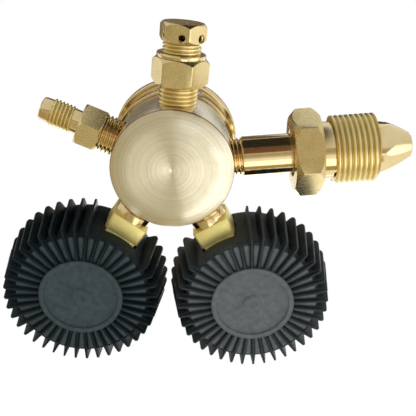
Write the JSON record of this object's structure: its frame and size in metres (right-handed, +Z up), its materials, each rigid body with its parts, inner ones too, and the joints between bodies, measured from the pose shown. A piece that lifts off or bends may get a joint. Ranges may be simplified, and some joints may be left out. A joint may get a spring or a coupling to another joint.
{
  "type": "gas pressure regulator",
  "caption": "Single-stage brass cylinder regulator with round body, bull-nose inlet nut, flare outlet, relief valve and gauges in finned rubber boots.",
  "frame": {"origin": "on the inlet axis, in the middle of the inlet nut's outside thread", "axes": "+Z up with the gauges on top, +X along the inlet away from the body, -Y towards the dials and the handle"},
  "size_m": [0.153, 0.0992, 0.1326],
  "materials": {
    "turned_brass": "fine turning marks, bright",
    "fitting_brass": "machined, polished flats and threads",
    "inner_brass": "plain machined",
    "sintered_bronze": "porous sintered",
    "spring_steel": "drawn wire, lightly oiled",
    "handle_steel": "nickel plated",
    "case_steel": "black enamel",
    "screw_steel": "zinc plated",
    "plate_aluminium": "plain machined",
    "dial_white": "matt white enamel",
    "pointer_black": "matt black",
    "clear_window": "clear polycarbonate",
    "boot_rubber": "moulded, matt dark grey",
    "seal_rubber": "smooth",
    "diaphragm_rubber": "fabric reinforced",
    "seat_plastic": "machined"
  },
  "bodies": {
    "regulator": {"body": "turned_brass", "bonnet": "turned_brass", "valve_nozzle": "inner_brass", "nozzle_seal": "seal_rubber", "valve_spring": "spring_steel", "diaphragm": "diaphragm_rubber", "diaphragm_ring": "inner_brass", "pressure_spring": "spring_steel", "inlet_nipple": "fitting_brass", "inlet_filter": "sintered_bronze", "outlet_adapter": "fitting_brass", "relief_body": "fitting_brass", "relief_ring": "fitting_brass", "relief_cap": "fitting_brass", "relief_spring": "spring_steel", "high_gauge_socket": "fitting_brass", "high_bourdon_tube": "inner_brass", "high_gauge_case": "case_steel", "high_case_screws": "screw_steel", "high_movement_plates": "inner_brass", "high_movement_screws": "screw_steel", "high_hairspring": "spring_steel", "high_dial": "dial_white", "high_dial_screws": "screw_steel", "high_window": "clear_window", "high_bezel": "case_steel", "high_boot": "boot_rubber", "low_gauge_socket": "fitting_brass", "low_bourdon_tube": "inner_brass", "low_gauge_case": "case_steel", "low_case_screws": "screw_steel", "low_movement_plates": "inner_brass", "low_movement_screws": "screw_steel", "low_hairspring": "spring_steel", "low_dial": "dial_white", "low_dial_screws": "screw_steel", "low_window": "clear_window", "low_bezel": "case_steel", "low_boot": "boot_rubber"},
    "inlet_nut": {"inlet_nut": "fitting_brass"},
    "spring_button": {"spring_button": "inner_brass"},
    "adjusting_screw": {"adjusting_screw": "handle_steel", "handle_bar": "handle_steel"},
    "diaphragm_stack": {"diaphragm_washer": "inner_brass", "diaphragm_rivet": "inner_brass", "diaphragm_plate": "plate_aluminium", "diaphragm_nut": "inner_brass"},
    "valve": {"valve_plug": "inner_brass", "valve_seat_insert": "seat_plastic", "valve_pin": "spring_steel"},
    "relief_valve": {"relief_disc": "inner_brass", "relief_seal": "seal_rubber"},
    "high_sector": {"high_sector_gear": "inner_brass"},
    "high_pointer": {"high_pointer_arbor": "inner_brass", "high_pointer": "pointer_black"},
    "high_link": {"high_link_bar": "inner_brass"},
    "low_sector": {"low_sector_gear": "inner_brass"},
    "low_pointer": {"low_pointer_arbor": "inner_brass", "low_pointer": "pointer_black"},
    "low_link": {"low_link_bar": "inner_brass"}
  },
  "joints": [
    {"name": "inlet_nut_spin", "type": "hinge", "parent": "regulator", "child": "inlet_nut", "pos_m": [0, 0, 0], "axis": [1, 0, 0], "continuous": true},
    {"name": "spring_button_slide", "type": "slide", "parent": "regulator", "child": "spring_button", "axis": [0, 1, 0], "range_m": [0, 0.006], "deforming": ["pressure_spring"]},
    {"name": "adjusting_screw_turn", "type": "hinge", "parent": "spring_button", "child": "adjusting_screw", "pos_m": [-0.0639, 0, 0], "axis": [0, 1, 0], "range_deg": [0, 1441]},
    {"name": "diaphragm_slide", "type": "slide", "parent": "regulator", "child": "diaphragm_stack", "axis": [0, 1, 0], "range_m": [0, 0.0008], "deforming": ["diaphragm"]},
    {"name": "valve_slide", "type": "slide", "parent": "regulator", "child": "valve", "axis": [0, 1, 0], "range_m": [0, 0.0008], "deforming": ["valve_spring"]},
    {"name": "relief_valve_lift", "type": "slide", "parent": "regulator", "child": "relief_valve", "axis": [0.165, 0, -0.9863], "range_m": [0, 0.0012], "stiffness_N_per_m": 4000, "springref_m": -0.002, "deforming": ["relief_spring"]},
    {"name": "high_sector_turn", "type": "hinge", "parent": "regulator", "child": "high_sector", "pos_m": [-0.04384, 0, 0.04206], "axis": [0, -1, 0], "range_deg": [0, 38.5], "deforming": ["high_bourdon_tube"]},
    {"name": "high_pointer_turn", "type": "hinge", "parent": "regulator", "child": "high_pointer", "pos_m": [-0.03867, 0, 0.05289], "axis": [0, -1, 0], "range_deg": [-270, 0], "deforming": ["high_hairspring"]},
    {"name": "high_link_turn", "type": "hinge", "parent": "high_sector", "child": "high_link", "pos_m": [-0.04034, 0, 0.03849], "axis": [0, -1, 0], "range_deg": [-38.6, 0]},
    {"name": "low_sector_turn", "type": "hinge", "parent": "regulator", "child": "low_sector", "pos_m": [-0.09385, 0, 0.0357], "axis": [0, -1, 0], "range_deg": [0, 38.5], "deforming": ["low_bourdon_tube"]},
    {"name": "low_pointer_turn", "type": "hinge", "parent": "regulator", "child": "low_pointer", "pos_m": [-0.10157, 0, 0.04489], "axis": [0, -1, 0], "range_deg": [-270, 0], "deforming": ["low_hairspring"]},
    {"name": "low_link_turn", "type": "hinge", "parent": "low_sector", "child": "low_link", "pos_m": [-0.08915, 0, 0.03741], "axis": [0, -1, 0], "range_deg": [-38.6, 0]}
  ],
  "couplings": [
    {"joint": "adjusting_screw_turn", "follows": "spring_button_slide", "rad_per_m": 4188.8},
    {"joint": "valve_slide", "follows": "diaphragm_slide", "ratio": 1},
    {"joint": "high_pointer_turn", "follows": "high_sector_turn", "ratio": -7},
    {"joint": "high_link_turn", "follows": "high_sector_turn", "ratio": -1},
    {"joint": "low_pointer_turn", "follows": "low_sector_turn", "ratio": -7},
    {"joint": "low_link_turn", "follows": "low_sector_turn", "ratio": -1}
  ]
}
